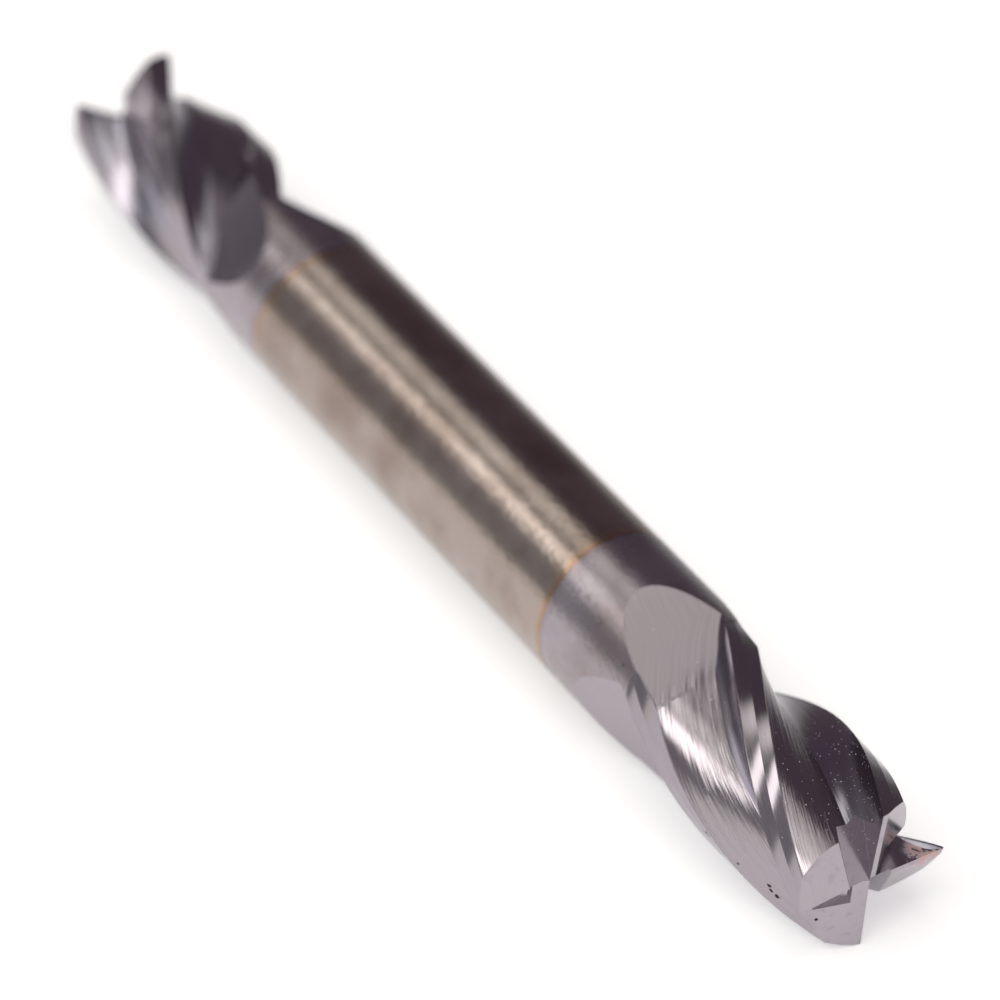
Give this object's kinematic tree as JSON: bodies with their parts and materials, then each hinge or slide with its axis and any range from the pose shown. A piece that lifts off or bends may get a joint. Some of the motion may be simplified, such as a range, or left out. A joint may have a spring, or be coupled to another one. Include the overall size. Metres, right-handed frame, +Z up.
{
  "type": "double-ended end mill",
  "caption": "Double-ended stub end mill: straight round shank with four right-hand helical flutes and centre-cutting end teeth at each end, dark coated ends and bare middle.",
  "frame": {"origin": "middle of the tool's length, on its axis", "axes": "+X along the tool axis towards the front cutting end, +Z up"},
  "size_m": [0.0508, 0.0064, 0.0064],
  "materials": {
    "coated_carbide": "satin metal",
    "coating_edge_gold": "satin metal",
    "bare_carbide": "ground metal"
  },
  "bodies": {
    "root": {"front_cutting_end": "coated_carbide", "front_coating_edge": "coating_edge_gold", "bare_shank": "bare_carbide", "rear_coating_edge": "coating_edge_gold", "rear_cutting_end": "coated_carbide"}
  },
  "joints": []
}
